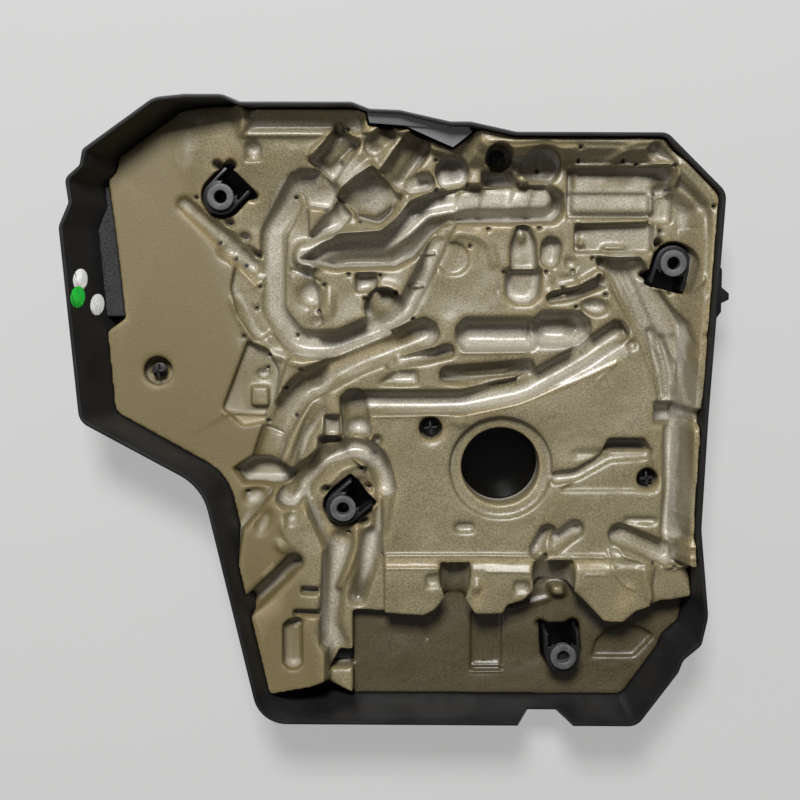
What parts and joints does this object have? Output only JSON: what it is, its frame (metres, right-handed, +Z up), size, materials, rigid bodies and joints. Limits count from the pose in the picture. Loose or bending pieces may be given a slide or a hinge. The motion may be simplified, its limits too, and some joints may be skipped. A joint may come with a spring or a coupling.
{
  "type": "engine cover",
  "caption": "Moulded plastic engine cover with a contoured acoustic foam liner, rubber grommets for the engine's studs, foam pins and a felt strip.",
  "frame": {"origin": "centre of the box on the floor; the cover lies on its outer face", "axes": "+Z up out of the open underside, +X to the right and +Y to the back as the picture shows it"},
  "size_m": [0.5398, 0.516, 0.08],
  "materials": {
    "shell": "satin moulded",
    "foam": "moulded foam skin",
    "rubber": "matte",
    "pin": "satin",
    "felt": "pressed felt",
    "paper_white": "matte",
    "paper_green": "matte"
  },
  "bodies": {
    "root": {"cover_shell": "shell", "foam_liner": "foam", "grommet_holder_1": "shell", "grommet_holder_2": "shell", "grommet_holder_3": "shell", "grommet_holder_4": "shell", "grommet_1": "rubber", "grommet_2": "rubber", "grommet_3": "rubber", "grommet_4": "rubber", "foam_pin_1": "pin", "foam_pin_2": "pin", "foam_pin_3": "pin", "foam_pin_4": "pin", "felt_strip": "felt", "sticker_white_a": "paper_white", "sticker_green": "paper_green", "sticker_white_b": "paper_white"}
  },
  "joints": []
}
